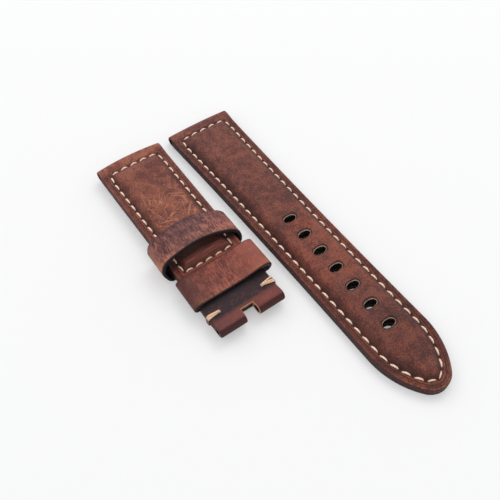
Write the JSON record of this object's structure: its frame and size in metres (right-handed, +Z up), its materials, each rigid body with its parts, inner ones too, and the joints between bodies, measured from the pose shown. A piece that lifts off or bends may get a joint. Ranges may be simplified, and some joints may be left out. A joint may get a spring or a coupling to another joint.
{
  "type": "leather watch strap",
  "caption": "Two-piece padded leather watch strap with stitched edges, fixed and free keepers, a tapered tail with oval adjustment holes, and wrapped bar ends.",
  "frame": {"origin": "centre of the bounding box's footprint on the table under the strap", "axes": "+Z up from the table, +Y along both halves towards their lug ends, +X from the buckle half to the tail half"},
  "size_m": [0.0544, 0.123, 0.0122],
  "materials": {
    "upper_leather": "waxed reddish brown pull-up leather, darker burnished beside the stitches",
    "keeper_leather": "the same leather in a darker batch, with dark painted edges",
    "lining_leather": "smooth tan lining",
    "filler": "raw firm padding",
    "reinforcement": "thin woven stay",
    "thread": "waxed cream thread",
    "tack_thread": "waxed tan thread"
  },
  "bodies": {
    "buckle_half": {"buckle_half_upper": "upper_leather", "buckle_half_filler": "filler", "buckle_half_lining": "lining_leather", "buckle_half_reinforcement": "reinforcement", "buckle_half_top_thread": "thread", "buckle_half_bottom_thread": "thread", "bar_tack_left": "tack_thread", "bar_tack_right": "tack_thread", "fixed_keeper": "keeper_leather"},
    "free_keeper": {"free_keeper": "keeper_leather"},
    "tail_half": {"tail_half_upper": "upper_leather", "tail_half_filler": "filler", "tail_half_lining": "lining_leather", "tail_half_reinforcement": "reinforcement", "tail_half_top_thread": "thread", "tail_half_bottom_thread": "thread"}
  },
  "joints": [
    {"name": "free_keeper_slide", "type": "slide", "parent": "buckle_half", "child": "free_keeper", "axis": [0, 1, 0], "range_m": [-0.0039, 0.04]},
    {"name": "tail_half_apart", "type": "slide", "parent": "buckle_half", "child": "tail_half", "axis": [0, 1, 0], "range_m": [-0.02, 0.02]}
  ]
}
